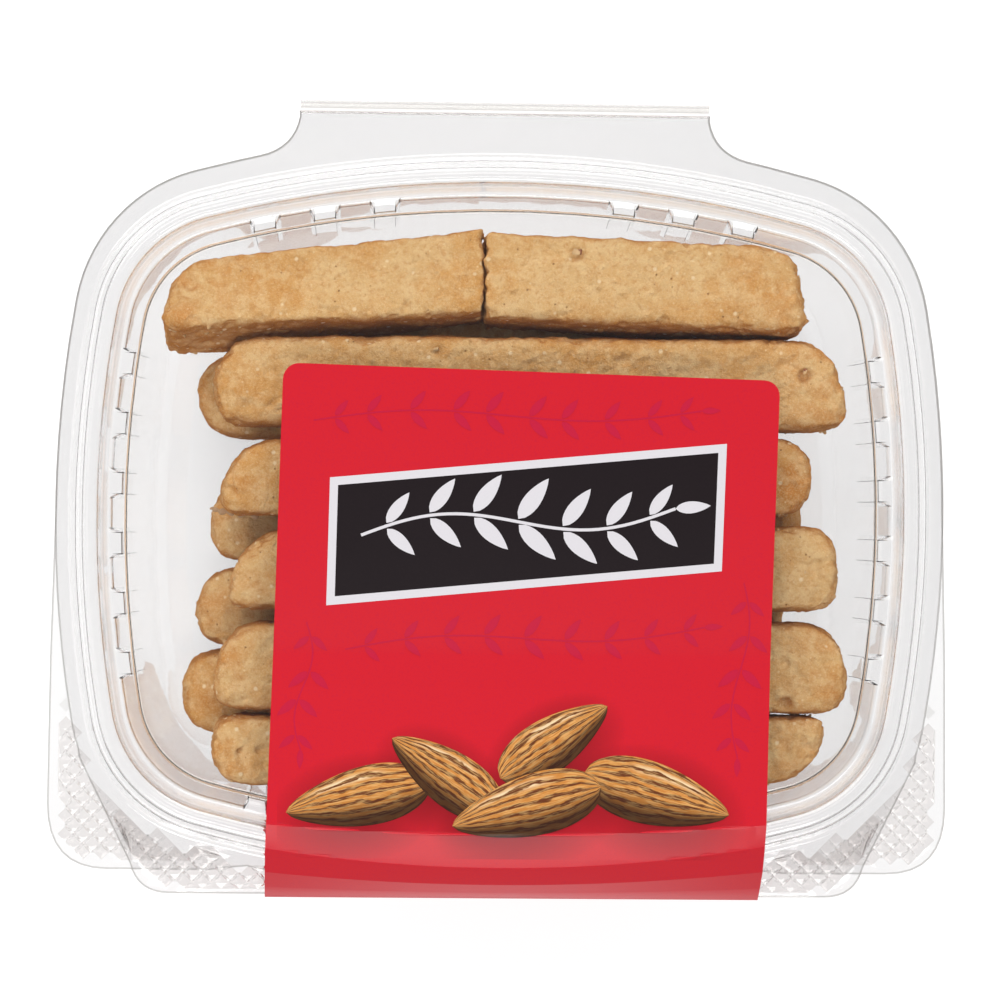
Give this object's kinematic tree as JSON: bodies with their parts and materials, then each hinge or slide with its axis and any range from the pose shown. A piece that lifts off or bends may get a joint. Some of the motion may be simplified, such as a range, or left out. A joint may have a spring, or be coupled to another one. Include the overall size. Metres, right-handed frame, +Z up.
{
  "type": "pack of biscotti",
  "caption": "Shut clear plastic hinged box filled with layers of baked almond biscotti fingers, with a red wrap label over the lid and the front edge.",
  "frame": {"origin": "under the middle of the whole pack, at the height of the box's floor", "axes": "+Z up through the lid, +Y towards the hinge at the back, +X to the right along the biscuits, seen from the front tabs"},
  "size_m": [0.1866, 0.1655, 0.0548],
  "materials": {
    "clear_plastic": "clear formed sheet, glossy",
    "label_paper": "coated paper, satin",
    "baked_dough": "dry baked crust, matt"
  },
  "bodies": {
    "root": {"clamshell": "clear_plastic", "label": "label_paper", "biscuit_1_left": "baked_dough", "biscuit_1_right": "baked_dough", "biscuit_2": "baked_dough", "biscuit_3": "baked_dough", "biscuit_4": "baked_dough", "biscuit_5": "baked_dough", "biscuit_6": "baked_dough", "under_biscuit_1": "baked_dough", "under_biscuit_2": "baked_dough", "under_biscuit_3": "baked_dough", "under_biscuit_4": "baked_dough", "under_biscuit_5": "baked_dough"}
  },
  "joints": []
}
